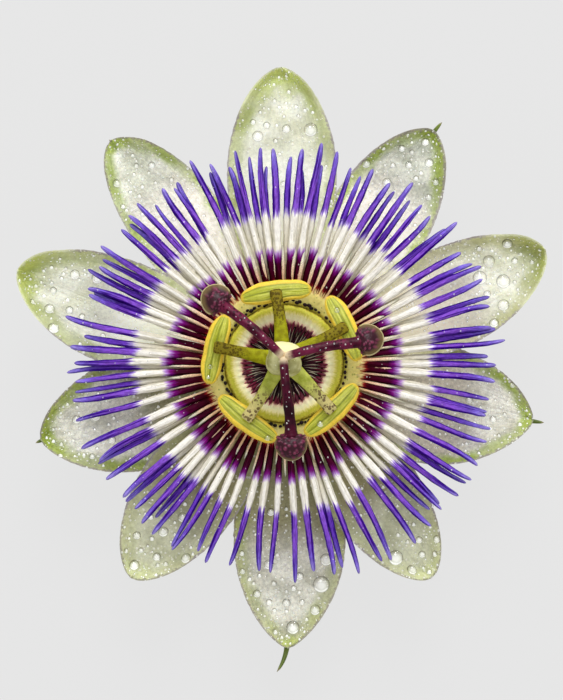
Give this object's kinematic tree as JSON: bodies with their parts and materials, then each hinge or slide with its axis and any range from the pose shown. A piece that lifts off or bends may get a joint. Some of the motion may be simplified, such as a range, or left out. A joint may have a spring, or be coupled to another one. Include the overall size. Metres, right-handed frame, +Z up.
{
  "type": "passion flower",
  "caption": "Cut passion flower lying face up: pale petals and sepals under a ring of banded violet filaments, with stamens and spreading styles on a raised column.",
  "frame": {"origin": "on the surface that the flower lies on, under the middle of its outline", "axes": "+Z up along the flower's axis, out of its open face; +Y towards the longest petal, which is the top of the picture"},
  "size_m": [0.0882, 0.1008, 0.0301],
  "materials": {
    "petal": "pale green-white, soft satin, slightly translucent",
    "sepal": "white-green with green edges, soft satin",
    "corona_outer": "cream at the root, pale violet tip, matt",
    "corona_inner": "maroon, white and violet bands, matt",
    "dark_heads": "near black, satin",
    "operculum": "yellow-green ring, cream pleats, maroon fringe",
    "calyx": "green, satin",
    "column": "pale green, satin",
    "ovary": "pale green with a cream top, satin",
    "stamen": "yellow-green with fine dark specks, satin",
    "anther": "green with yellow rims, powdery",
    "style": "dark purple, satin",
    "stigma": "dark purple with an olive rim, warty",
    "bract": "green, satin",
    "water": "clear water"
  },
  "bodies": {
    "root": {"petal_1": "petal", "petal_2": "petal", "petal_3": "petal", "petal_4": "petal", "petal_5": "petal", "sepal_1": "sepal", "sepal_2": "sepal", "sepal_3": "sepal", "sepal_4": "sepal", "sepal_5": "sepal", "corona_outer": "corona_outer", "corona_inner": "corona_inner", "short_filaments": "dark_heads", "operculum": "operculum", "floral_cup": "calyx", "column": "column", "ovary": "ovary", "stamen_stalk_1": "stamen", "stamen_stalk_2": "stamen", "stamen_stalk_3": "stamen", "stamen_stalk_4": "stamen", "stamen_stalk_5": "stamen", "anther_1": "anther", "anther_2": "anther", "anther_3": "anther", "anther_4": "anther", "anther_5": "anther", "style_1": "style", "style_2": "style", "style_3": "style", "stigma_1": "stigma", "stigma_2": "stigma", "stigma_3": "stigma", "stalk": "bract", "bract_1": "bract", "bract_2": "bract", "bract_3": "bract"}
  },
  "joints": []
}
